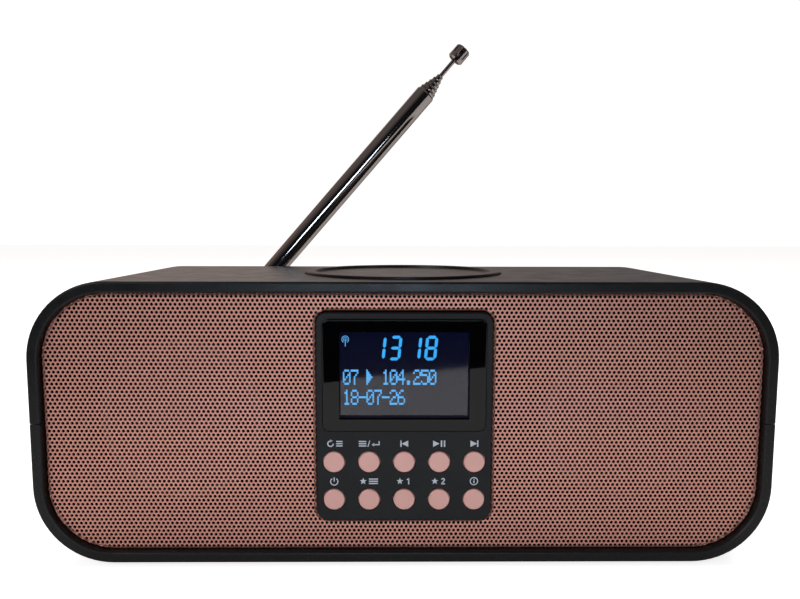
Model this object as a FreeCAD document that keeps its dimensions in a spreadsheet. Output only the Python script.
"""Tabletop radio with a perforated metal front, a top dial and a telescopic aerial.

Model frame: +Z is up, the front faces -Y and +X is to the right.  The origin is the
middle of the overall footprint, on the surface that the feet stand on.

Most sub-parts are drawn in the case's own frame: X from the middle of the case, Y as
the depth behind the front rim, and Z as the height above the case's underside.
"""
import FreeCAD, Part
import math
import os
import re
import Sketcher

SIZES = {
    # Case
    "case_width": 260.0,
    "case_height": 100.0,
    "case_depth": 93.0,
    "case_corner": 27.5,
    "shell_wall": 2.5,
    "rim_width": 4.0,
    "rim_depth": 6.0,
    "rim_edge": 0.8,
    "rear_edge": 1.5,
    "seam_height": 50.3,
    "seam_gap": 0.4,
    "fit_gap": 0.3,
    # Feet
    "foot_height": 1.5,
    "foot_radius": 7.0,
    "foot_recess": 1.0,
    "foot_x": 92.0,
    "foot_front": 14.0,
    "foot_rear": 80.0,
    # Case pillars and their screws
    "pillar_radius": 4.6,
    "pillar_front_x": 36.5,
    "pillar_front_y": 20.0,
    "pillar_rear_x": 98.0,
    "pillar_rear_y": 66.0,
    "shoulder_height": 36.0,
    "screw_head_radius": 2.9,
    "screw_head_height": 2.0,
    "screw_radius": 1.4,
    "screw_length": 28.0,
    "screw_gap": 0.1,
    "pilot_top": 68.0,
    # Front: grille and baffle
    "grille_gap": 0.25,
    "grille_set_back": 2.5,
    "grille_sheet": 0.6,
    "grille_roll": 0.7,
    "baffle_thickness": 3.0,
    "aperture_half_width": 28.5,
    "aperture_bottom": 17.0,
    "aperture_top": 88.0,
    "aperture_corner": 2.0,
    # Control panel and display
    "panel_width": 61.4,
    "panel_height": 74.2,
    "panel_centre": 52.2,
    "panel_corner": 3.8,
    "panel_set_back": 1.0,
    "panel_face": 2.0,
    "panel_skirt": 1.4,
    "panel_edge": 0.6,
    "panel_gap": 0.5,
    "window_width": 56.9,
    "window_height": 39.5,
    "window_centre": 67.3,
    "window_corner": 2.5,
    "window_proud": 0.6,
    "window_thickness": 1.8,
    "window_edge": 0.5,
    "window_gap": 0.15,
    "view_half_width": 22.6,
    "view_height": 30.7,
    "view_centre": 67.25,
    "display_width": 50.0,
    "display_height": 36.0,
    "display_glass": 1.8,
    # Buttons
    "button_radius": 3.73,
    "button_proud": 0.5,
    "button_pitch": 12.3,
    "upper_row": 36.55,
    "lower_row": 22.97,
    "button_gap": 0.32,
    "button_edge": 0.3,
    "button_flange_radius": 4.3,
    "button_flange_start": 3.4,
    "button_flange_end": 4.2,
    "button_stem_radius": 1.4,
    "button_stem_end": 6.0,
    "switch_width": 6.0,
    "switch_height": 3.5,
    "switch_hole_radius": 1.7,
    "switch_hole_depth": 1.8,
    # Boards
    "board_thickness": 1.6,
    "control_board_half_width": 34.0,
    "control_board_bottom": 12.0,
    "control_board_top": 91.8,
    "control_screw_x": 31.3,
    "control_screw_low": 15.0,
    "control_screw_high": 89.4,
    "small_screw_radius": 1.1,
    "small_head_radius": 2.1,
    "small_head_height": 1.4,
    "small_screw_length": 4.2,
    "main_board_half_width": 60.0,
    "main_board_front": 50.0,
    "main_board_rear": 88.0,
    "main_board_height": 13.0,
    "post_radius": 3.0,
    "post_x": 54.0,
    "post_front": 54.0,
    "post_rear": 82.0,
    "post_hole_depth": 8.0,
    "tuner_x": 8.0,
    "tuner_y": 54.0,
    "tuner_width": 32.0,
    "tuner_depth": 18.0,
    "tuner_height": 5.0,
    "capacitor_radius": 5.0,
    "capacitor_height": 17.0,
    "capacitor_x": -40.0,
    "capacitor_y": 60.0,
    "capacitor_pitch": 12.0,
    "ribbon_width": 16.0,
    "ribbon_thickness": 0.3,
    "ribbon_height": 24.0,
    "ribbon_bend": 46.0,
    "ribbon_end": 53.0,
    # Speakers
    "speaker_x": 79.0,
    "speaker_height": 50.0,
    "speaker_hole_radius": 30.0,
    "speaker_flange_radius": 36.0,
    "speaker_flange_inner": 28.0,
    "speaker_flange": 1.2,
    "speaker_depth": 17.0,
    "basket_sheet": 1.0,
    "basket_floor_radius": 20.0,
    "basket_hole_radius": 9.0,
    "magnet_radius": 22.5,
    "plate_radius": 20.0,
    "plate_thickness": 2.0,
    "magnet_thickness": 8.0,
    "pole_radius": 6.5,
    "coil_slot_radius": 8.2,
    "coil_slot_depth": 9.0,
    "surround_inner": 25.0,
    "surround_outer": 29.7,
    "surround_height": 1.8,
    "cone_radius": 24.6,
    "cone_front": -0.6,
    "cone_neck_radius": 7.5,
    "cone_neck": 11.0,
    "cone_paper": 0.8,
    "coil_wall": 0.5,
    "coil_length": 10.0,
    "cap_rise": 3.0,
    "speaker_screw_circle": 33.0,
    # Dial and its encoder
    "dial_depth": 48.5,
    "dial_radius": 39.3,
    "dial_well_radius": 39.9,
    "dial_well_depth": 1.6,
    "dial_inner_radius": 35.0,
    "dial_inner_depth": 5.0,
    "dial_boss_radius": 37.5,
    "dial_boss_bottom": 92.0,
    "dial_proud": 1.0,
    "dial_bevel": 0.3,
    "dial_rim": 3.6,
    "dial_dish": 1.1,
    "dial_dish_slope": 0.4,
    "dial_underside": 98.2,
    "dial_skirt": 4.6,
    "dial_skirt_bottom": 98.7,
    "hub_radius": 6.5,
    "hub_bottom": 96.9,
    "shaft_radius": 3.0,
    "shaft_gap": 0.05,
    "shaft_top": 98.8,
    "shaft_bottom": 88.0,
    "bushing_radius": 3.5,
    "bushing_top": 96.6,
    "nut_flat": 10.0,
    "nut_height": 1.5,
    "encoder_width": 13.0,
    "encoder_depth": 12.0,
    "encoder_height": 6.5,
    # Rear panel and sockets
    "rear_panel_front": 90.0,
    "rear_panel_thickness": 2.5,
    "rear_boss_radius": 4.4,
    "rear_boss_start": 76.0,
    "rear_boss_x": 112.5,
    "rear_boss_z": 91.0,
    "rear_boss_middle_top": 91.5,
    "rear_boss_middle_low": 5.8,
    "rear_screw_length": 10.0,
    "rear_head_depth": 1.5,
    "vent_width": 2.0,
    "vent_height": 30.0,
    "vent_bottom": 34.0,
    "vent_pitch": 5.0,
    "vent_count": 9,
    "vent_x": 60.0,
    "jack_radius": 1.8,
    "jack_depth": 14.0,
    "jack_nose_radius": 3.4,
    "jack_width": 8.0,
    "jack_body": 14.0,
    "jack_height": 7.0,
    "phones_x": -20.0,
    "line_in_x": 0.0,
    "power_x": 30.0,
    "power_width": 9.5,
    "power_height": 10.5,
    "power_body": 13.0,
    "power_bore_radius": 2.85,
    "power_bore_depth": 9.0,
    "power_pin_radius": 1.0,
    "power_nose_radius": 4.4,
    # Aerial
    "aerial_x": -76.0,
    "aerial_z": 80.9,
    "aerial_depth": 99.0,
    "aerial_elevation": 48.86,
    "tube_radius": 4.6,
    "tube_step": 0.6,
    "tube_wall": 0.52,
    "tube_start": 8.0,
    "tube_plug": 4.0,
    "tube_mouth": 0.6,
    "tube_end": 132.6,
    "section_show": 2.06,
    "section_start": 13.0,
    "section_back": 0.8,
    "rod_radius": 1.0,
    "rod_end": 152.4,
    "rod_start": 22.0,
    "tip_radius": 3.7,
    "tip_length": 7.0,
    "tip_bore": 4.0,
    "tip_edge": 0.7,
    "tongue_thickness": 4.0,
    "tongue_radius": 4.0,
    "ear_gap": 0.2,
    "ear_thickness": 2.2,
    "swivel_flange_radius": 6.5,
    "swivel_flange": 1.0,
    "swivel_gap": 0.2,
    "swivel_radius": 4.0,
    "swivel_fit": 0.1,
    "swivel_end": 85.5,
    "clip_groove": 88.0,
    "clip_groove_width": 0.8,
    "clip_groove_radius": 3.2,
    "clip_thickness": 0.6,
    "clip_gap": 0.1,
    "clip_radius": 6.0,
    "hinge_pin_radius": 1.45,
    "hinge_pin_gap": 0.05,
    "hinge_head_radius": 2.4,
    "hinge_head": 0.5,
    "lug_thickness": 0.5,
    "lug_radius": 7.0,
    "lug_gap": 0.2,
    "lug_tab_half_width": 1.6,
}

DERIVED = {
    "case_front": "(-(aerial_depth + tube_radius) / 2)",
}

SECTIONS = 5
BUTTONS = (
    ("button_mode", -2, "upper_row"),
    ("button_menu", -1, "upper_row"),
    ("button_previous", 0, "upper_row"),
    ("button_play", 1, "upper_row"),
    ("button_next", 2, "upper_row"),
    ("button_power", -2, "lower_row"),
    ("button_preset_list", -1, "lower_row"),
    ("button_preset_1", 0, "lower_row"),
    ("button_preset_2", 1, "lower_row"),
    ("button_info", 2, "lower_row"),
)
SPEAKERS = (("left", -1), ("right", 1))
PILLARS = (
    ("pillar_front_x", "pillar_front_y"),
    ("-pillar_front_x", "pillar_front_y"),
    ("pillar_rear_x", "pillar_rear_y"),
    ("-pillar_rear_x", "pillar_rear_y"),
)
REAR_HIGH = (
    ("rear_boss_x", "rear_boss_z"),
    ("-rear_boss_x", "rear_boss_z"),
    ("0", "rear_boss_middle_top"),
)
REAR_LOW = (
    ("rear_boss_x", "case_height - rear_boss_z"),
    ("-rear_boss_x", "case_height - rear_boss_z"),
    ("0", "rear_boss_middle_low"),
)
POSTS = tuple((x, y) for x in ("post_x", "-post_x") for y in ("post_front", "post_rear"))
FEET = tuple((x, y) for x in ("foot_x", "-foot_x") for y in ("foot_front", "foot_rear"))

doc = FreeCAD.newDocument("tabletop_radio")
sheet = doc.addObject("Spreadsheet::Sheet", "Sizes")
sub_parts = []


# ---------------------------------------------------------------- sheet and placing
def fill_sheet():
    """Write every driving dimension into the sheet, with its name as the alias."""
    for row, (name, number) in enumerate(SIZES.items(), start=1):
        sheet.set(f"A{row}", name)
        sheet.set(f"B{row}", str(number))
        sheet.setAlias(f"B{row}", name)
    doc.recompute()


def formula(text):
    """Turn a formula of plain size names into one that reads the sheet."""
    def cell(found):
        name = found.group()
        if name in DERIVED:
            return formula(DERIVED[name])
        return f"Sizes.{name}" if name in SIZES else name
    return re.sub(r"[a-z][a-z_0-9]*", cell, str(text))


def value(text):
    """The number that a formula gives now."""
    return float(sheet.evalExpression(formula(text)))


def bind(thing, prop, text):
    """Bind one property of an object to a formula on the sheet."""
    thing.setExpression(prop, formula(text))


def place(thing, x="0", y="case_front", z="foot_height"):
    """Bind an object's position; the default is the case's own frame."""
    for axis, text in zip("xyz", (x, y, z)):
        bind(thing, f".Placement.Base.{axis}", text)


def keep(thing, label):
    """Name a finished sub-part and put it on the list to write."""
    thing.Label = label
    sub_parts.append(thing)
    return thing


# ---------------------------------------------------------------- bodies and sketches
def new_body(label, **position):
    """A PartDesign body with its own frame, listed as a sub-part."""
    body = keep(doc.addObject("PartDesign::Body", label), label)
    place(body, **position)
    return body


def sketch_on(body, role, offset):
    """A sketch on one of the body's origin planes, moved along the plane's normal."""
    drawing = body.newObject("Sketcher::SketchObject", f"{body.Name}_sketch")
    plane = next(f for f in body.Origin.OriginFeatures if f.Role == role)
    drawing.AttachmentSupport = [(plane, "")]
    drawing.MapMode = "FlatFace"
    bind(drawing, ".AttachmentOffset.Base.z", offset)
    return drawing


def front_sketch(body, depth="0"):
    """A sketch seen from the front: X to the right, Z up, at a depth."""
    return sketch_on(body, "XZ_Plane", f"-({depth})")


def level_sketch(body, height="0"):
    """A sketch seen from above, at a height."""
    return sketch_on(body, "XY_Plane", height)


def side_sketch(body, across="0"):
    """A sketch seen from the right: Y across and Z up, at an X place."""
    return sketch_on(body, "YZ_Plane", across)


def pin_point(drawing, shape, point, x, y):
    """Hold one point of a sketch at two formulas."""
    for kind, text in (("DistanceX", x), ("DistanceY", y)):
        made = Sketcher.Constraint(kind, -1, 1, shape, point, value(text))
        index = drawing.addConstraint(made)
        bind(drawing, f"Constraints[{index}]", text)


def circle(drawing, x, y, radius):
    """Draw a circle."""
    centre = FreeCAD.Vector(value(x), value(y), 0)
    up = FreeCAD.Vector(0, 0, 1)
    shape = drawing.addGeometry(Part.Circle(centre, up, value(radius)))
    pin_point(drawing, shape, 3, x, y)
    index = drawing.addConstraint(Sketcher.Constraint("Radius", shape, value(radius)))
    bind(drawing, f"Constraints[{index}]", radius)


def polygon(drawing, corners):
    """Draw a closed outline with straight sides, each corner held at its formulas."""
    points = [FreeCAD.Vector(value(x), value(y), 0) for x, y in corners]
    count = len(points)
    first = len(drawing.Geometry)
    for i in range(count):
        drawing.addGeometry(Part.LineSegment(points[i], points[(i + 1) % count]))
    for i in range(count):
        following = first + (i + 1) % count
        joined = Sketcher.Constraint("Coincident", first + i, 2, following, 1)
        drawing.addConstraint(joined)
    for i, (x, y) in enumerate(corners):
        pin_point(drawing, first + i, 1, x, y)


def box_outline(drawing, left, right, low, high):
    """Draw an upright rectangle from its four sides."""
    polygon(drawing, [(left, low), (right, low), (right, high), (left, high)])


def rounded_outline(drawing, width, height, middle, radius, across="0"):
    """Draw an upright rectangle with round corners, from its middle."""
    half_x, half_z, r = value(width) / 2, value(height) / 2, value(radius)
    x_mid, z_mid = value(across), value(middle)
    up = FreeCAD.Vector(0, 0, 1)
    first = len(drawing.Geometry)
    turns = ((1, 1, 0), (-1, 1, 90), (-1, -1, 180), (1, -1, 270))
    arcs = []
    for x_side, z_side, start in turns:
        centre = FreeCAD.Vector(x_mid + x_side * (half_x - r), z_mid + z_side * (half_z - r), 0)
        whole = Part.Circle(centre, up, r)
        arcs.append(Part.ArcOfCircle(whole, math.radians(start), math.radians(start + 90)))
    for arc in arcs:
        drawing.addGeometry(arc)
    for i in range(4):
        drawing.addGeometry(Part.LineSegment(arcs[i].EndPoint, arcs[(i + 1) % 4].StartPoint))
    for i in range(4):
        arc, line, following = first + i, first + 4 + i, first + (i + 1) % 4
        drawing.addConstraint(Sketcher.Constraint("Tangent", arc, 2, line, 1))
        drawing.addConstraint(Sketcher.Constraint("Tangent", line, 2, following, 1))
    for i in (0, 2):
        drawing.addConstraint(Sketcher.Constraint("Horizontal", first + 4 + i))
        drawing.addConstraint(Sketcher.Constraint("Vertical", first + 5 + i))
    for i in (1, 2, 3):
        drawing.addConstraint(Sketcher.Constraint("Equal", first, first + i))
    index = drawing.addConstraint(Sketcher.Constraint("Radius", first, r))
    bind(drawing, f"Constraints[{index}]", radius)
    pin_point(drawing, first, 3, f"({across}) + ({width}) / 2 - ({radius})",
              f"({middle}) + ({height}) / 2 - ({radius})")
    pin_point(drawing, first + 2, 3, f"({across}) - ({width}) / 2 + ({radius})",
              f"({middle}) - ({height}) / 2 + ({radius})")


def pad(body, drawing, length, back=False, both=False):
    """Pad a sketch along its normal, the other way, or both ways."""
    made = body.newObject("PartDesign::Pad", f"{body.Name}_pad")
    made.Profile = drawing
    made.Reversed = back
    made.Midplane = both
    bind(made, "Length", length)
    doc.recompute()
    return made


def pocket(body, drawing, length, back=False, both=False):
    """Cut a sketch into the body, against its normal, and check that it cut."""
    before = body.Shape.Volume
    made = body.newObject("PartDesign::Pocket", f"{body.Name}_pocket")
    made.Profile = drawing
    made.Reversed = back
    made.Midplane = both
    bind(made, "Length", length)
    doc.recompute()
    if body.Shape.Volume >= before - 1e-6:
        raise RuntimeError(f"{body.Label}: a pocket cuts nothing")
    return made


def pad_back(body, drawing, length):
    """Pad a front sketch towards the rear."""
    return pad(body, drawing, length, back=True)


def soften(body, radius, test, kind="Fillet"):
    """Round or chamfer every edge of the body for which the test is true."""
    base = body.Tip
    names = [f"Edge{i}" for i, edge in enumerate(base.Shape.Edges, start=1) if test(edge)]
    if not names:
        raise RuntimeError(f"{body.Label}: no edge to soften")
    made = body.newObject(f"PartDesign::{kind}", f"{body.Name}_{kind.lower()}")
    made.Base = (base, names)
    bind(made, "Radius" if kind == "Fillet" else "Size", radius)
    body.Tip = made
    doc.recompute()
    return made


def repeat(body, feature, drawing, count, length):
    """Repeat a feature along its sketch's horizontal direction."""
    made = body.newObject("PartDesign::LinearPattern", f"{body.Name}_row")
    made.Originals = [feature]
    made.Direction = (drawing, ["H_Axis"])
    bind(made, "Length", length)
    bind(made, "Occurrences", count)
    body.Tip = made
    doc.recompute()


def ring_of(body, feature, drawing, count):
    """Repeat a feature around its sketch's normal."""
    made = body.newObject("PartDesign::PolarPattern", f"{body.Name}_ring")
    made.Originals = [feature]
    made.Axis = (drawing, ["N_Axis"])
    made.Angle = 360
    made.Occurrences = count
    body.Tip = made
    doc.recompute()


def revolve(body, corners):
    """Turn an outline of (radius, height) corners about the body's Z axis."""
    drawing = front_sketch(body)
    polygon(drawing, corners)
    made = body.newObject("PartDesign::Revolution", f"{body.Name}_turned")
    made.Profile = drawing
    made.ReferenceAxis = (drawing, ["V_Axis"])
    made.Angle = 360
    doc.recompute()
    return made


def turned(label, corners, axis=None, angle="0", **position):
    """A body turned about its own Z axis, which a rotation may lay along another way."""
    body = new_body(label, **position)
    revolve(body, corners)
    if axis:
        lay(body, axis, angle)
    return body


def lay(thing, axis, angle):
    """Turn an object about an axis through its own origin."""
    thing.Placement.Rotation = FreeCAD.Rotation(FreeCAD.Vector(*axis), value(angle))
    bind(thing, ".Placement.Rotation.Angle", angle)


def in_plane(edge, axis, level):
    """Whether an edge lies in the plane where one coordinate has a given value."""
    box = edge.BoundBox
    low, high = getattr(box, f"{axis}Min"), getattr(box, f"{axis}Max")
    return abs(low - level) < 1e-4 and abs(high - level) < 1e-4


# ---------------------------------------------------------------- Part primitives
def block(name, size, corner):
    """A box bound to the sheet: its three sizes and its lowest corner."""
    made = doc.addObject("Part::Box", name)
    for prop, text in zip(("Length", "Width", "Height"), size):
        bind(made, prop, text)
    place(made, corner[0], f"case_front + {corner[1]}", f"foot_height + {corner[2]}")
    return made


def rod(name, radius, length, end, direction="up"):
    """A cylinder bound to the sheet, from one end: up, or towards the rear."""
    made = doc.addObject("Part::Cylinder", name)
    bind(made, "Radius", radius)
    bind(made, "Height", length)
    if direction == "rear":
        made.Placement.Rotation = FreeCAD.Rotation(FreeCAD.Vector(1, 0, 0), -90)
    place(made, end[0], f"case_front + {end[1]}", f"foot_height + {end[2]}")
    return made


def join(name, pieces):
    """One solid from pieces that meet."""
    made = doc.addObject("Part::MultiFuse", name)
    made.Shapes = pieces
    return made


def cut(name, base, tool):
    """The base with the tool's shape taken away."""
    made = doc.addObject("Part::Cut", name)
    made.Base = base
    made.Tool = tool
    return made


def group(label, pieces):
    """Separate solids kept together as one sub-part."""
    made = doc.addObject("Part::Compound", label)
    made.Links = pieces
    return keep(made, label)


def screw(name, head, direction, head_size, shank_size):
    """A screw whose shank starts at the given point; its head is behind that point."""
    x, y, z = head
    head_radius, head_height = head_size
    shank_radius, shank_length = shank_size
    if direction == "up":
        cap = rod(f"{name}_head", head_radius, head_height, (x, y, f"{z} - {head_height}"))
        shank = rod(f"{name}_shank", shank_radius, shank_length, (x, y, z))
    elif direction == "down":
        cap = rod(f"{name}_head", head_radius, head_height, (x, y, z))
        shank = rod(f"{name}_shank", shank_radius, shank_length,
                    (x, y, f"{z} - ({shank_length})"))
    else:
        cap = rod(f"{name}_head", head_radius, head_height, (x, y, z), "rear")
        shank = rod(f"{name}_shank", shank_radius, shank_length,
                    (x, f"{y} - ({shank_length})", z), "rear")
    return join(name, [cap, shank])


# ---------------------------------------------------------------- case shells
def case_ring(body):
    """The whole rounded sleeve of the case, with its thicker rim at the front."""
    middle = "case_height / 2"
    rim = front_sketch(body)
    rounded_outline(rim, "case_width", "case_height", middle, "case_corner")
    rounded_outline(rim, "case_width - 2 * rim_width", "case_height - 2 * rim_width", middle,
                    "case_corner - rim_width")
    pad_back(body, rim, "rim_depth")
    wall = front_sketch(body, "rim_depth")
    rounded_outline(wall, "case_width", "case_height", middle, "case_corner")
    rounded_outline(wall, "case_width - 2 * shell_wall", "case_height - 2 * shell_wall",
                    middle, "case_corner - shell_wall")
    pad_back(body, wall, "case_depth - rim_depth")
    soften(body, "rim_edge", lambda edge: in_plane(edge, "Y", 0))
    depth, inner = value("case_depth"), value("case_width / 2 - shell_wall")
    tall = value("case_height - shell_wall")

    def on_rear_outside(edge):
        box = edge.BoundBox
        outside = box.XMax > inner + 0.1 or box.XMin < -inner - 0.1
        outside = outside or box.ZMax > tall + 0.1 or box.ZMin < value("shell_wall") - 0.1
        return in_plane(edge, "Y", depth) and outside
    soften(body, "rear_edge", on_rear_outside)


def half_cut(body, low, high):
    """Cut away the part of the sleeve between two heights."""
    drawing = front_sketch(body, "-1")
    box_outline(drawing, "-case_width / 2 - 1", "case_width / 2 + 1", low, high)
    pocket(body, drawing, "case_depth + 2")


def rear_bosses(body, places):
    """Bosses inside the rear edge for the rear panel's screws."""
    bosses = front_sketch(body, "rear_boss_start")
    for x, z in places:
        circle(bosses, x, z, "rear_boss_radius")
    pad_back(body, bosses, "rear_panel_front - rear_boss_start")
    holes = front_sketch(body, "rear_panel_front - rear_screw_length")
    for x, z in places:
        circle(holes, x, z, "screw_radius + screw_gap")
    pocket(body, holes, "rear_screw_length")


def make_upper_shell():
    """The upper half of the case, with the dial's well and the screw pillars."""
    body = new_body("upper_shell")
    case_ring(body)
    half_cut(body, "-1", "seam_height + seam_gap / 2")
    boss = level_sketch(body, "dial_boss_bottom")
    circle(boss, "0", "dial_depth", "dial_boss_radius")
    pad(body, boss, "case_height - shell_wall / 2 - dial_boss_bottom")
    for radius, depth in (
        ("dial_well_radius", "dial_well_depth"),
        ("dial_inner_radius", "dial_inner_depth"),
        ("bushing_radius + screw_gap", "case_height - dial_boss_bottom + 1"),
    ):
        well = level_sketch(body, "case_height")
        circle(well, "0", "dial_depth", radius)
        pocket(body, well, depth)
    pillars = level_sketch(body, "seam_height + seam_gap / 2")
    for x, y in PILLARS:
        circle(pillars, x, y, "pillar_radius")
    pad(body, pillars, "case_height - shell_wall / 2 - seam_height - seam_gap / 2")
    pilots = level_sketch(body, "pilot_top")
    for x, y in PILLARS:
        circle(pilots, x, y, "screw_radius + screw_gap")
    pocket(body, pilots, "pilot_top - seam_height")
    rear_bosses(body, REAR_HIGH)


def make_lower_shell():
    """The lower half of the case, with pillars, board posts and foot recesses."""
    body = new_body("lower_shell")
    case_ring(body)
    half_cut(body, "seam_height - seam_gap / 2", "case_height + 1")
    pillars = level_sketch(body, "shell_wall / 2")
    for x, y in PILLARS:
        circle(pillars, x, y, "pillar_radius")
    pad(body, pillars, "seam_height - seam_gap / 2 - shell_wall / 2")
    wells = level_sketch(body, "shoulder_height")
    for x, y in PILLARS:
        circle(wells, x, y, "screw_head_radius + 2 * screw_gap")
    pocket(body, wells, "shoulder_height + 1")
    holes = level_sketch(body, "seam_height")
    for x, y in PILLARS:
        circle(holes, x, y, "screw_radius + 2 * screw_gap")
    pocket(body, holes, "seam_height - shoulder_height + 1")
    posts = level_sketch(body, "shell_wall / 2")
    for x, y in POSTS:
        circle(posts, x, y, "post_radius")
    pad(body, posts, "main_board_height - shell_wall / 2")
    pilots = level_sketch(body, "main_board_height")
    for x, y in POSTS:
        circle(pilots, x, y, "small_screw_radius + screw_gap")
    pocket(body, pilots, "post_hole_depth")
    recesses = level_sketch(body, "foot_recess")
    for x, y in FEET:
        circle(recesses, x, y, "foot_radius + screw_gap")
    pocket(body, recesses, "foot_recess + 1")
    rear_bosses(body, REAR_LOW)


def make_feet():
    """Four round rubber feet, each in its shallow recess."""
    for name, x, y in (
        ("foot_front_left", "-foot_x", "foot_front"),
        ("foot_front_right", "foot_x", "foot_front"),
        ("foot_rear_left", "-foot_x", "foot_rear"),
        ("foot_rear_right", "foot_x", "foot_rear"),
    ):
        top = "foot_height + foot_recess"
        edge = "foot_height / 3"
        outline = [("0", "0"), (f"foot_radius - {edge}", "0"), ("foot_radius", edge),
                   ("foot_radius", top), ("0", top)]
        turned(name, outline, x=x, y=f"case_front + {y}", z="0")


# ---------------------------------------------------------------- front
def make_front_baffle():
    """The inner front board that carries the speakers, grille and control panel."""
    body = new_body("front_baffle")
    slack = "2 * shell_wall - 2 * fit_gap"
    face = front_sketch(body, "rim_depth")
    rounded_outline(face, f"case_width - {slack}", f"case_height - {slack}",
                    "case_height / 2", "case_corner - shell_wall - fit_gap")
    pad_back(body, face, "baffle_thickness")
    holes = front_sketch(body, "rim_depth")
    rounded_outline(holes, "2 * aperture_half_width", "aperture_top - aperture_bottom",
                    "(aperture_top + aperture_bottom) / 2", "aperture_corner")
    for _, side in SPEAKERS:
        circle(holes, f"{side} * speaker_x", "speaker_height", "speaker_hole_radius")
        for x, z in speaker_screw_places(side):
            circle(holes, x, z, "small_screw_radius + screw_gap")
    for x in ("control_screw_x", "-control_screw_x"):
        for z in ("control_screw_low", "control_screw_high"):
            circle(holes, x, z, "small_screw_radius + screw_gap")
    pocket(body, holes, "baffle_thickness")


def speaker_screw_places(side):
    """The four screw places around a speaker, on the diagonals."""
    reach = "speaker_screw_circle * sqrt(0.5)"
    return [(f"{side} * speaker_x + {a} * {reach}", f"speaker_height + {b} * {reach}")
            for a in (-1, 1) for b in (-1, 1)]


def make_speaker_grille():
    """A pressed metal sheet whose outer edge and cut-out edge are bent backwards."""
    body = new_body("speaker_grille")
    wide = "case_width - 2 * rim_width - 2 * grille_gap"
    tall = "case_height - 2 * rim_width - 2 * grille_gap"
    corner = "case_corner - rim_width - grille_gap"
    hole = ("panel_width + 2 * panel_gap", "panel_height + 2 * panel_gap", "panel_centre",
            "panel_corner + panel_gap")
    sheet_face = front_sketch(body, "grille_set_back")
    rounded_outline(sheet_face, wide, tall, "case_height / 2", corner)
    rounded_outline(sheet_face, *hole)
    pad_back(body, sheet_face, "grille_sheet")
    edge_depth = "rim_depth - grille_set_back"
    outer = front_sketch(body, "grille_set_back")
    rounded_outline(outer, wide, tall, "case_height / 2", corner)
    rounded_outline(outer, f"{wide} - 2 * grille_sheet", f"{tall} - 2 * grille_sheet",
                    "case_height / 2", f"{corner} - grille_sheet")
    pad_back(body, outer, edge_depth)
    inner = front_sketch(body, "grille_set_back")
    rounded_outline(inner, f"{hole[0]} + 2 * grille_sheet", f"{hole[1]} + 2 * grille_sheet",
                    hole[2], f"{hole[3]} + grille_sheet")
    rounded_outline(inner, *hole)
    pad_back(body, inner, edge_depth)
    front = value("grille_set_back")
    soften(body, "grille_roll", lambda edge: in_plane(edge, "Y", front))


def make_control_panel():
    """The moulded panel in the middle of the front, with window and button holes."""
    body = new_body("control_panel")
    face = front_sketch(body, "panel_set_back")
    rounded_outline(face, "panel_width", "panel_height", "panel_centre", "panel_corner")
    pad_back(body, face, "rim_depth - panel_set_back")
    front = value("panel_set_back")
    soften(body, "panel_edge", lambda edge: in_plane(edge, "Y", front))
    hollow = front_sketch(body, "panel_set_back + panel_face")
    rounded_outline(hollow, "panel_width - 2 * panel_skirt", "panel_height - 2 * panel_skirt",
                    "panel_centre", "panel_corner - panel_skirt")
    pocket(body, hollow, "rim_depth")
    seat = front_sketch(body, "panel_set_back")
    rounded_outline(seat, "window_width + 2 * window_gap", "window_height + 2 * window_gap",
                    "window_centre", "window_corner + window_gap")
    pocket(body, seat, "window_thickness - window_proud")
    view = front_sketch(body, "panel_set_back")
    box_outline(view, "-view_half_width", "view_half_width", "view_centre - view_height / 2",
                "view_centre + view_height / 2")
    pocket(body, view, "panel_face")
    holes = front_sketch(body, "panel_set_back")
    for _, column, row in BUTTONS:
        circle(holes, f"{column} * button_pitch", row, "button_radius + button_gap")
    pocket(body, holes, "panel_face")


def make_display():
    """The clear window, the display glass and the light box behind it."""
    window = new_body("display_window")
    face = front_sketch(window, "panel_set_back - window_proud")
    rounded_outline(face, "window_width", "window_height", "window_centre", "window_corner")
    pad_back(window, face, "window_thickness")
    front = value("panel_set_back - window_proud")
    soften(window, "window_edge", lambda edge: in_plane(edge, "Y", front))
    start = "panel_set_back + panel_face + fit_gap"
    low = "view_centre - display_height / 2"
    glass = block("lcd_glass", ("display_width", "display_glass", "display_height"),
                  ("-display_width / 2", start, low))
    keep(glass, "lcd_glass")
    behind = f"{start} + display_glass"
    light = block("lcd_backlight",
                  ("display_width", f"rim_depth + baffle_thickness - ({behind})",
                   "display_height"), ("-display_width / 2", behind, low))
    keep(light, "lcd_backlight")


def make_buttons():
    """Ten round buttons, each turned about its own axis, with a flange and a stem."""
    front = "panel_set_back - button_proud"
    outline = [
        ("0", "0"),
        ("button_radius - button_edge", "0"),
        ("button_radius", "button_edge"),
        ("button_radius", f"button_flange_start - ({front})"),
        ("button_flange_radius", f"button_flange_start - ({front})"),
        ("button_flange_radius", f"button_flange_end - ({front})"),
        ("button_stem_radius", f"button_flange_end - ({front})"),
        ("button_stem_radius", f"button_stem_end - ({front})"),
        ("0", f"button_stem_end - ({front})"),
    ]
    for label, column, row in BUTTONS:
        turned(label, outline, axis=(1, 0, 0), angle="-90", x=f"{column} * button_pitch",
               y=f"case_front + {front}", z=f"foot_height + {row}")


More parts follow.
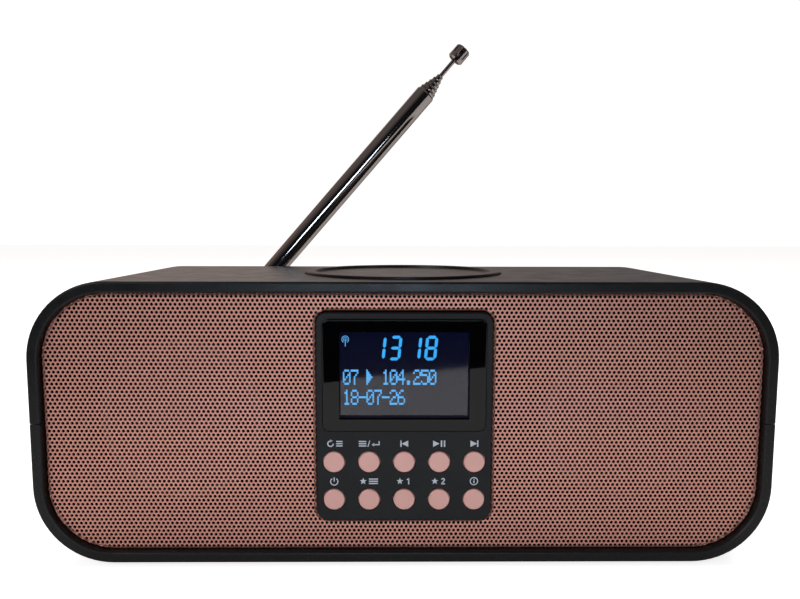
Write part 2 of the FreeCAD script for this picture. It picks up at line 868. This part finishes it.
# ---------------------------------------------------------------- boards
def make_control_board():
    """The upright board behind the panel, and its ten push switches."""
    body = new_body("control_board")
    start = "rim_depth + baffle_thickness"
    face = front_sketch(body, start)
    box_outline(face, "-control_board_half_width", "control_board_half_width",
                "control_board_bottom", "control_board_top")
    for x in ("control_screw_x", "-control_screw_x"):
        for z in ("control_screw_low", "control_screw_high"):
            circle(face, x, z, "small_screw_radius + 2 * screw_gap")
    pad_back(body, face, "board_thickness")
    switches = []
    for label, column, row in BUTTONS:
        x = f"{column} * button_pitch"
        case = block(f"{label}_switch_case", ("switch_width", "switch_height", "switch_width"),
                     (f"{x} - switch_width / 2", f"{start} - switch_height",
                      f"{row} - switch_width / 2"))
        hole = rod(f"{label}_switch_hole", "switch_hole_radius", "switch_hole_depth",
                   (x, f"{start} - switch_height", row), "rear")
        switches.append(cut(f"{label}_switch", case, hole))
    group("push_switches", switches)


def make_main_board():
    """The flat board on the floor of the case with its larger parts and the ribbon."""
    body = new_body("main_board")
    face = level_sketch(body, "main_board_height")
    box_outline(face, "-main_board_half_width", "main_board_half_width", "main_board_front",
                "main_board_rear")
    for x, y in POSTS:
        circle(face, x, y, "small_screw_radius + 2 * screw_gap")
    pad(body, face, "board_thickness")
    top = "main_board_height + board_thickness"
    can = block("tuner_module", ("tuner_width", "tuner_depth", "tuner_height"),
                ("tuner_x", "tuner_y", top))
    keep(can, "tuner_module")
    cans = [rod(f"capacitor_{i}", "capacitor_radius", "capacitor_height",
                (f"capacitor_x + {i} * capacitor_pitch", "capacitor_y", top)) for i in range(3)]
    group("filter_capacitors", cans)
    ribbon = new_body("display_ribbon")
    start = "rim_depth + baffle_thickness + board_thickness"
    path = side_sketch(ribbon, "-ribbon_width / 2")
    t = "ribbon_thickness"
    polygon(path, [
        (start, "ribbon_height"),
        ("ribbon_bend", "ribbon_height"),
        ("ribbon_end", f"{top} + {t}"),
        ("ribbon_end + ribbon_width / 4", f"{top} + {t}"),
        ("ribbon_end + ribbon_width / 4", top),
        (f"ribbon_end - {t} / 2", top),
        (f"ribbon_bend - {t} / 2", f"ribbon_height - {t}"),
        (start, f"ribbon_height - {t}"),
    ])
    pad(ribbon, path, "ribbon_width")


def make_screws():
    """All screws: identical ones share one sub-part."""
    shank = ("screw_radius", "screw_length")
    head = ("screw_head_radius", "screw_head_height")
    case = [screw(f"case_screw_{i}", (x, y, "shoulder_height"), "up", head, shank)
            for i, (x, y) in enumerate(PILLARS)]
    group("case_screws", case)
    rear_head = "rear_panel_front + rear_panel_thickness - rear_head_depth"
    rear = [screw(f"rear_screw_{i}", (x, rear_head, z), "rear",
                  ("screw_head_radius", "rear_head_depth"),
                  ("screw_radius", "rear_screw_length - 1"))
            for i, (x, z) in enumerate(REAR_HIGH + REAR_LOW)]
    group("rear_panel_screws", rear)
    small_head = ("small_head_radius", "small_head_height")
    small_shank = ("small_screw_radius", "small_screw_length")
    behind = "rim_depth + baffle_thickness + speaker_flange"
    speaker = []
    for label, side in SPEAKERS:
        for i, (x, z) in enumerate(speaker_screw_places(side)):
            speaker.append(screw(f"{label}_speaker_screw_{i}", (x, behind, z), "rear",
                                 small_head, small_shank))
    group("speaker_screws", speaker)
    board = []
    behind = "rim_depth + baffle_thickness + board_thickness"
    places = [(x, z) for x in ("control_screw_x", "-control_screw_x")
              for z in ("control_screw_low", "control_screw_high")]
    for i, (x, z) in enumerate(places):
        board.append(screw(f"control_screw_{i}", (x, behind, z), "rear", small_head,
                           small_shank))
    top = "main_board_height + board_thickness"
    for i, (x, y) in enumerate(POSTS):
        board.append(screw(f"main_screw_{i}", (x, y, top), "down", small_head, small_shank))
    group("board_screws", board)


# ---------------------------------------------------------------- speakers
def make_speaker(label, side):
    """One speaker: basket, magnet, surround and the cone that moves."""
    spot = {"axis": (1, 0, 0), "angle": "-90", "x": f"{side} * speaker_x",
            "y": "case_front + rim_depth + baffle_thickness",
            "z": "foot_height + speaker_height"}
    basket = turned(f"{label}_speaker_basket", [
        ("speaker_flange_inner", "0"),
        ("speaker_flange_radius", "0"),
        ("speaker_flange_radius", "speaker_flange"),
        ("speaker_flange_inner + basket_sheet", "speaker_flange"),
        ("basket_floor_radius", "speaker_depth"),
        ("basket_hole_radius", "speaker_depth"),
        ("basket_hole_radius", "speaker_depth - basket_sheet"),
        ("basket_floor_radius - basket_sheet", "speaker_depth - basket_sheet"),
        ("speaker_flange_inner", "speaker_flange"),
    ], **spot)
    hole = level_sketch(basket, "speaker_flange")
    circle(hole, "speaker_screw_circle * sqrt(0.5)", "speaker_screw_circle * sqrt(0.5)",
           "small_screw_radius + 2 * screw_gap")
    ring_of(basket, pocket(basket, hole, "speaker_flange"), hole, 4)
    back = "speaker_depth + 2 * plate_thickness + magnet_thickness"
    turned(f"{label}_speaker_magnet", [
        ("0", "speaker_depth"),
        ("pole_radius", "speaker_depth"),
        ("pole_radius", "speaker_depth + coil_slot_depth"),
        ("coil_slot_radius", "speaker_depth + coil_slot_depth"),
        ("coil_slot_radius", "speaker_depth"),
        ("plate_radius", "speaker_depth"),
        ("plate_radius", "speaker_depth + plate_thickness"),
        ("magnet_radius", "speaker_depth + plate_thickness"),
        ("magnet_radius", "speaker_depth + plate_thickness + magnet_thickness"),
        ("plate_radius", "speaker_depth + plate_thickness + magnet_thickness"),
        ("plate_radius", back),
        ("0", back),
    ], **spot)
    turned(f"{label}_speaker_surround", [
        ("surround_inner", "0"),
        ("surround_inner", "-surround_height / 3"),
        ("surround_inner + surround_height / 2", "-surround_height"),
        ("surround_outer - surround_height / 2", "-surround_height"),
        ("surround_outer", "-surround_height / 3"),
        ("surround_outer", "0"),
    ], **spot)
    turned(f"{label}_speaker_cone", [
        ("cone_radius", "cone_front"),
        ("cone_radius", "cone_front + cone_paper"),
        ("cone_neck_radius", "cone_neck"),
        ("cone_neck_radius", "cone_neck + coil_length"),
        ("cone_neck_radius - coil_wall", "cone_neck + coil_length"),
        ("cone_neck_radius - coil_wall", "cone_neck - cone_paper"),
        ("cone_neck_radius / 2", "cone_neck - cap_rise"),
        ("0", "cone_neck - cap_rise - cone_paper"),
        ("0", "cone_neck - cap_rise - 2 * cone_paper"),
        ("cone_neck_radius / 2", "cone_neck - cap_rise - cone_paper"),
        ("cone_neck_radius", "cone_neck - 2 * cone_paper"),
    ], **spot)


# ---------------------------------------------------------------- dial and encoder
def make_dial():
    """The large dial on top, and the encoder that it turns."""
    axis = {"x": "0", "y": "case_front + dial_depth", "z": "foot_height"}
    top = "case_height + dial_proud"
    rim_inner = "dial_radius - dial_bevel - dial_rim"
    floor = f"{top} - dial_dish"
    bore = "shaft_radius + shaft_gap"
    turned("volume_dial", [
        ("0", "shaft_top + shaft_gap"),
        (bore, "shaft_top + shaft_gap"),
        (bore, "hub_bottom"),
        ("hub_radius", "hub_bottom"),
        ("hub_radius", "dial_underside"),
        ("dial_radius - dial_skirt", "dial_underside"),
        ("dial_radius - dial_skirt", "dial_skirt_bottom"),
        ("dial_radius", "dial_skirt_bottom"),
        ("dial_radius", f"{top} - dial_bevel"),
        ("dial_radius - dial_bevel", top),
        (rim_inner, top),
        (f"{rim_inner} - dial_dish_slope", floor),
        ("0", f"{floor} - dial_dish_slope / 2"),
    ], **axis)
    turned("encoder_shaft", [
        ("0", "shaft_bottom"),
        ("shaft_radius", "shaft_bottom"),
        ("shaft_radius", "shaft_top"),
        ("0", "shaft_top"),
    ], **axis)
    encoder = new_body("encoder_body", **axis)
    base = level_sketch(encoder, "dial_boss_bottom - encoder_height")
    box_outline(base, "-encoder_width / 2", "encoder_width / 2", "-encoder_depth / 2",
                "encoder_depth / 2")
    pad(encoder, base, "encoder_height")
    bushing = level_sketch(encoder, "dial_boss_bottom")
    circle(bushing, "0", "0", "bushing_radius")
    pad(encoder, bushing, "bushing_top - dial_boss_bottom")
    hole = level_sketch(encoder, "bushing_top")
    circle(hole, "0", "0", bore)
    pocket(encoder, hole, "bushing_top - shaft_bottom + shaft_gap")
    nut = new_body("encoder_nut", **axis)
    face = level_sketch(nut, "case_height - dial_inner_depth")
    corner = "nut_flat / sqrt(3)"
    polygon(face, [(f"{corner} * cos({60 * i})", f"{corner} * sin({60 * i})")
                   for i in range(6)])
    circle(face, "0", "0", "bushing_radius + shaft_gap")
    pad(nut, face, "nut_height")


# ---------------------------------------------------------------- rear
def make_rear_panel():
    """The rear cover with vent slots, socket holes and the aerial's bearing hole."""
    body = new_body("rear_panel")
    slack = "2 * shell_wall - 2 * fit_gap"
    face = front_sketch(body, "rear_panel_front")
    rounded_outline(face, f"case_width - {slack}", f"case_height - {slack}",
                    "case_height / 2", "case_corner - shell_wall - fit_gap")
    pad_back(body, face, "rear_panel_thickness")
    holes = front_sketch(body, "rear_panel_front")
    for x, z in REAR_HIGH + REAR_LOW:
        circle(holes, x, z, "screw_radius + 2 * screw_gap")
    circle(holes, "aerial_x", "aerial_z", "swivel_radius + swivel_fit")
    for x, z, radius in socket_noses():
        circle(holes, x, z, f"{radius} + fit_gap")
    pocket(body, holes, "rear_panel_thickness")
    heads = front_sketch(body, "rear_panel_front + rear_panel_thickness - rear_head_depth")
    for x, z in REAR_HIGH + REAR_LOW:
        circle(heads, x, z, "screw_head_radius + 2 * screw_gap")
    pocket(body, heads, "rear_panel_thickness")
    for side in (-1, 1):
        slot = front_sketch(body, "rear_panel_front")
        start = f"{side} * vent_x - (vent_count - 1) * vent_pitch / 2"
        rounded_outline(slot, "vent_width", "vent_height", "vent_bottom + vent_height / 2",
                        "vent_width / 2 - 0.01", across=start)
        first = pocket(body, slot, "rear_panel_thickness")
        repeat(body, first, slot, "vent_count", "(vent_count - 1) * vent_pitch")


def socket_noses():
    """Place and radius of each socket's round nose in the rear panel."""
    top = "main_board_height + board_thickness"
    return (
        ("phones_x", f"{top} + jack_height / 2", "jack_nose_radius"),
        ("line_in_x", f"{top} + jack_height / 2", "jack_nose_radius"),
        ("power_x", f"{top} + power_height / 2", "power_nose_radius"),
    )


def make_socket(label, spot, body_size, bore_radius, bore_depth):
    """A socket on the main board: a block, a round nose through the panel and a bore."""
    x, z, nose_radius = spot
    width, height, length = body_size
    body = new_body(label)
    face = front_sketch(body, f"rear_panel_front - {length}")
    box_outline(face, f"{x} - {width} / 2", f"{x} + {width} / 2", f"{z} - {height} / 2",
                f"{z} + {height} / 2")
    pad_back(body, face, length)
    nose = front_sketch(body, "rear_panel_front")
    circle(nose, x, z, nose_radius)
    pad_back(body, nose, "rear_panel_thickness")
    bore = front_sketch(body, f"rear_panel_front + rear_panel_thickness - {bore_depth}")
    circle(bore, x, z, bore_radius)
    if label == "power_socket":
        circle(bore, x, z, "power_pin_radius")
    pocket(body, bore, bore_depth)


def make_sockets():
    """Headphone, line-in and power sockets."""
    phones, line_in, power = socket_noses()
    jack = ("jack_width", "jack_height", "jack_body")
    make_socket("headphone_socket", phones, jack, "jack_radius", "jack_depth")
    make_socket("line_in_socket", line_in, jack, "jack_radius", "jack_depth")
    make_socket("power_socket", power, ("power_width", "power_height", "power_body"),
                "power_bore_radius", "power_bore_depth")


# ---------------------------------------------------------------- aerial
def aerial_spot():
    """The aerial's own frame: Z along the tube, X along the tilt pin, origin on it."""
    return {"x": "aerial_x", "y": "case_front + aerial_depth", "z": "foot_height + aerial_z"}


def lean(body):
    """Lean a body in the aerial's frame to the aerial's angle."""
    lay(body, (0, 1, 0), "90 - aerial_elevation")


def make_aerial_swivel():
    """The turret that swivels in the rear panel, with two ears for the tilt pin."""
    body = new_body("aerial_swivel", **aerial_spot())
    face = "rear_panel_front + rear_panel_thickness + swivel_gap - aerial_depth"
    ears = side_sketch(body)
    reach = f"{face} + swivel_flange"
    circle(ears, "0", "0", "tube_radius")
    pad(body, ears, "tongue_thickness + 2 * ear_gap + 2 * ear_thickness", both=True)
    foot = side_sketch(body)
    box_outline(foot, reach, "0", "-tube_radius", "tube_radius")
    pad(body, foot, "tongue_thickness + 2 * ear_gap + 2 * ear_thickness", both=True)
    slot = side_sketch(body)
    box_outline(slot, reach, "tube_radius + 1", "-tube_radius - 1", "tube_radius + 1")
    pocket(body, slot, "tongue_thickness + 2 * ear_gap", both=True)
    flange = front_sketch(body, face)
    circle(flange, "0", "0", "swivel_flange_radius")
    pad_back(body, flange, "swivel_flange")
    shaft = front_sketch(body, "swivel_end - aerial_depth")
    circle(shaft, "0", "0", "swivel_radius")
    pad_back(body, shaft, f"{face} - (swivel_end - aerial_depth)")
    groove = front_sketch(body, "clip_groove - aerial_depth")
    circle(groove, "0", "0", "swivel_radius + 1")
    circle(groove, "0", "0", "clip_groove_radius")
    pocket(body, groove, "clip_groove_width")
    pin = side_sketch(body)
    circle(pin, "0", "0", "hinge_pin_radius + hinge_pin_gap")
    pocket(body, pin, "4 * tube_radius", both=True)
    lean(body)


def make_aerial_fittings():
    """The retaining clip, the contact lug and the tilt pin."""
    laid = {"axis": (1, 0, 0), "angle": "-90", "x": "aerial_x", "z": "foot_height + aerial_z"}
    inside = "clip_groove_radius + clip_gap / 2"
    turned("aerial_clip", [
        (inside, "0"),
        ("clip_radius", "0"),
        ("clip_radius", "clip_thickness"),
        (inside, "clip_thickness"),
    ], y="case_front + clip_groove + clip_gap", **laid)
    lug = turned("aerial_contact_lug", [
        ("swivel_radius + lug_gap", "0"),
        ("lug_radius", "0"),
        ("lug_radius", "lug_thickness"),
        ("swivel_radius + lug_gap", "lug_thickness"),
    ], y="case_front + rear_panel_front - lug_thickness", **laid)
    tab = level_sketch(lug)
    box_outline(tab, "-lug_tab_half_width", "lug_tab_half_width", "lug_radius - 1", "2 * lug_radius")
    pad(lug, tab, "lug_thickness")
    reach = "tongue_thickness / 2 + ear_gap + ear_thickness"
    pin = new_body("aerial_hinge_pin", **aerial_spot())
    shank = side_sketch(pin)
    circle(shank, "0", "0", "hinge_pin_radius")
    pad(pin, shank, f"2 * ({reach})", both=True)
    for start in (reach, f"-({reach}) - hinge_head"):
        head = side_sketch(pin, start)
        circle(head, "0", "0", "hinge_head_radius")
        pad(pin, head, "hinge_head")
    lean(pin)


def make_base_tube():
    """The widest tube, closed at its foot, with the flat tongue that tilts."""
    body = new_body("aerial_base_tube", **aerial_spot())
    inner = "tube_radius - tube_wall"
    revolve(body, [
        ("0", "tube_start"),
        ("tube_radius", "tube_start"),
        ("tube_radius", "tube_end - tube_mouth"),
        ("tube_radius - tube_wall / 2", "tube_end"),
        (inner, "tube_end"),
        (inner, "tube_start + tube_plug"),
        ("0", "tube_start + tube_plug"),
    ])
    tongue = side_sketch(body)
    box_outline(tongue, "-tongue_radius", "tongue_radius", "0", "tube_start + 1")
    pad(body, tongue, "tongue_thickness", both=True)
    end = side_sketch(body)
    circle(end, "0", "0", "tongue_radius")
    pad(body, end, "tongue_thickness", both=True)
    hole = side_sketch(body)
    circle(hole, "0", "0", "hinge_pin_radius + hinge_pin_gap")
    pocket(body, hole, "2 * tongue_thickness", both=True)
    lean(body)


def make_sections():
    """The sliding tubes, each inside the one before, then the rod and its tip."""
    for i in range(1, SECTIONS + 1):
        body = new_body(f"aerial_section_{i + 1}", **aerial_spot())
        outer = f"tube_radius - {i} * tube_step"
        inner = f"{outer} - tube_wall"
        start = f"section_start + {i} * section_back"
        end = f"tube_end + {i} * section_show"
        revolve(body, [(inner, start), (outer, start), (outer, end), (inner, end)])
        lean(body)
    rod_body = new_body("aerial_rod", **aerial_spot())
    end = "rod_end + tip_bore"
    revolve(rod_body, [("0", "rod_start"), ("rod_radius", "rod_start"), ("rod_radius", end),
                       ("0", end)])
    lean(rod_body)
    tip = new_body("aerial_tip", **aerial_spot())
    inside = "rod_radius + hinge_pin_gap"
    top = "rod_end + tip_length"
    revolve(tip, [
        (inside, "rod_end"),
        ("tip_radius - tip_edge", "rod_end"),
        ("tip_radius", "rod_end + tip_edge"),
        ("tip_radius", f"{top} - tip_edge"),
        ("tip_radius - tip_edge", top),
        ("0", top),
        ("0", f"{end} + hinge_pin_gap"),
        (inside, f"{end} + hinge_pin_gap"),
    ])
    lean(tip)


# ---------------------------------------------------------------- checking and writing
def check_and_write():
    """Check every object, then write each sub-part to its own file."""
    doc.recompute()
    for thing in doc.Objects:
        if {"Invalid", "Error"} & set(thing.State):
            raise RuntimeError(f"{thing.Label} is {thing.State}")
    for thing in sub_parts:
        if thing.Shape.isNull() or not thing.Shape.isValid():
            raise RuntimeError(f"{thing.Label} has no valid shape")
    os.makedirs("parts", exist_ok=True)
    for thing in sub_parts:
        thing.Shape.exportStep(os.path.join("parts", f"{thing.Label}.step"))
        box = thing.Shape.BoundBox
        print(f"{thing.Label:24s} solids {len(thing.Shape.Solids):2d}"
              f"  volume {thing.Shape.Volume:10.1f}"
              f"  x {box.XMin:7.1f} {box.XMax:7.1f}  y {box.YMin:7.1f} {box.YMax:7.1f}"
              f"  z {box.ZMin:7.1f} {box.ZMax:7.1f}")
    print(len(sub_parts), "sub-parts")


fill_sheet()
make_upper_shell()
make_lower_shell()
make_feet()
make_front_baffle()
make_speaker_grille()
make_control_panel()
make_display()
make_buttons()
make_control_board()
make_main_board()
make_screws()
for speaker_label, speaker_side in SPEAKERS:
    make_speaker(speaker_label, speaker_side)
make_dial()
make_rear_panel()
make_sockets()
make_aerial_swivel()
make_aerial_fittings()
make_base_tube()
make_sections()
check_and_write()
